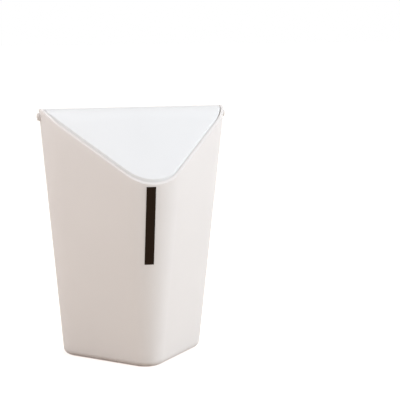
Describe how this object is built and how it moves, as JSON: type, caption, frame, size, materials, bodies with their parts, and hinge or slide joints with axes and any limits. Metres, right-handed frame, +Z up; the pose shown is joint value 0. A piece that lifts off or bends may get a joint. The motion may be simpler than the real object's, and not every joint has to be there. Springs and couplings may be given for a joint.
{
  "type": "desktop trash can",
  "caption": "Tapered square desktop trash can with rounded corners and a roof-shaped lid that swings on pivot pins at the side corners and levels itself by its own weight.",
  "frame": {"origin": "middle of the standing face, at table level", "axes": "+Z up; +X along the lid's ridge and pivot line, to the right seen from the front; -Y towards the front corner that carries the label strip"},
  "size_m": [0.1472, 0.1347, 0.1908],
  "materials": {
    "ivory_polypropylene": "fine satin moulding, warm off-white",
    "white_polypropylene": "smooth satin moulding, cool white",
    "black_label_film": "thin film, satin brown-black, bare"
  },
  "bodies": {
    "bucket": {"bucket": "ivory_polypropylene", "left_pivot_pin": "ivory_polypropylene", "right_pivot_pin": "ivory_polypropylene", "label_strip": "black_label_film"},
    "lid": {"swing_lid": "white_polypropylene"}
  },
  "joints": [
    {"name": "lid_swing", "type": "hinge", "parent": "bucket", "child": "lid", "pos_m": [0, 0, 0.1848], "axis": [1, 0, 0], "range_deg": [-75, 75]}
  ]
}
